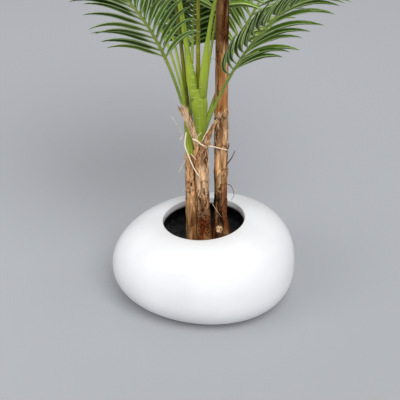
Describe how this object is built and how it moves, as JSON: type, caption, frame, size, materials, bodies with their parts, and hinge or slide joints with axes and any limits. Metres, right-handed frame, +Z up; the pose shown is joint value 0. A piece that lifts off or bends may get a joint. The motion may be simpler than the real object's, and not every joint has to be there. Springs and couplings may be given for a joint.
{
  "type": "potted artificial areca palm",
  "caption": "Tall artificial areca palm with bark-covered stems, green shafts and arching feather fronds, in a low white pebble-shaped pot filled with dark soil.",
  "frame": {"origin": "on the flat underside of the pot, below the middle of its opening", "axes": "+Z up, -Y towards the side that the picture shows, +X to its right"},
  "size_m": [1.1487, 1.0829, 1.738],
  "materials": {
    "pot_white": "satin",
    "soil_dark": "matte",
    "bark": "matte",
    "shaft_green": "satin",
    "husk": "matte",
    "frond_green": "satin"
  },
  "bodies": {
    "root": {"pot": "pot_white", "soil": "soil_dark", "trunk_left": "bark", "shaft_left": "shaft_green", "trunk_middle": "bark", "shaft_middle": "shaft_green", "trunk_tall": "bark", "shaft_tall": "shaft_green", "husk_left": "husk", "husk_right": "husk", "frond_middle_1": "frond_green", "frond_middle_2": "frond_green", "frond_middle_3": "frond_green", "frond_middle_4": "frond_green", "frond_middle_5": "frond_green", "frond_middle_6": "frond_green", "frond_middle_7": "frond_green", "frond_left_1": "frond_green", "frond_left_2": "frond_green", "frond_left_3": "frond_green", "frond_left_4": "frond_green", "frond_left_5": "frond_green", "frond_tall_1": "frond_green", "frond_tall_2": "frond_green", "frond_tall_3": "frond_green", "frond_tall_4": "frond_green", "frond_tall_5": "frond_green", "frond_tall_6": "frond_green", "frond_tall_7": "frond_green", "frond_tall_8": "frond_green", "frond_tall_9": "frond_green", "frond_tall_10": "frond_green"}
  },
  "joints": []
}
